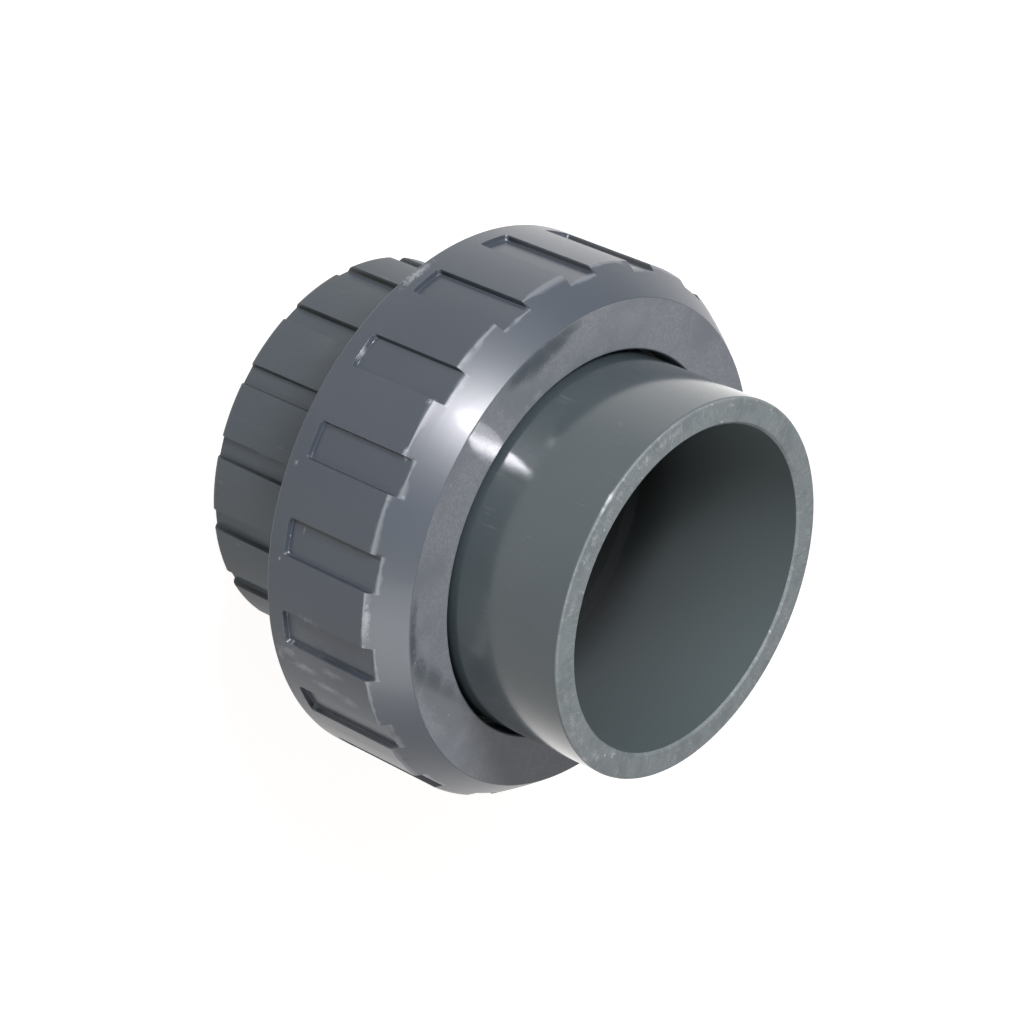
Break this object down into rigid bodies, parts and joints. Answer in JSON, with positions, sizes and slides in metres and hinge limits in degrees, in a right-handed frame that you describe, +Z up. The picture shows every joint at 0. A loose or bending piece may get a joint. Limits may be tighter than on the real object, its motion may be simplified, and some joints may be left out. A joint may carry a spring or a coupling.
{
  "type": "pvc pipe union coupling",
  "caption": "Three-piece plastic pipe union: ribbed threaded bush, plain flanged tail and a pocketed ring nut on a right-hand thread, with a seal ring and a glue socket at each end.",
  "frame": {"origin": "on the common axis, in the plane of the bush's lower end, on which the union stands", "axes": "+Z up along the common axis, from the ribbed bush towards the mouth of the plain tail; a groove between two of the bush's ribs is centred on +X"},
  "size_m": [0.105, 0.105, 0.0854],
  "materials": {
    "bush_plastic": "satin moulded dark grey, lightly scuffed",
    "tail_plastic": "smooth glossy dark grey with a green cast, fine scratches, rough cut mouth",
    "nut_plastic": "glossy dark blue-grey with a matte scuffed front face and worn edges",
    "seal_rubber": "matte black"
  },
  "bodies": {
    "bush": {"threaded_bush": "bush_plastic", "seal_ring": "seal_rubber"},
    "tail": {"union_end": "tail_plastic"},
    "nut": {"union_nut": "nut_plastic"}
  },
  "joints": [
    {"name": "tail_lift", "type": "slide", "parent": "bush", "child": "tail", "axis": [0, 0, 1], "range_m": [0, 0.012]},
    {"name": "nut_turn", "type": "hinge", "parent": "tail", "child": "nut", "pos_m": [0, 0, 0.045], "axis": [0, 0, 1], "range_deg": [0, 1080]}
  ],
  "couplings": [
    {"joint": "tail_lift", "follows": "nut_turn", "m_per_rad": 0.00063662}
  ]
}
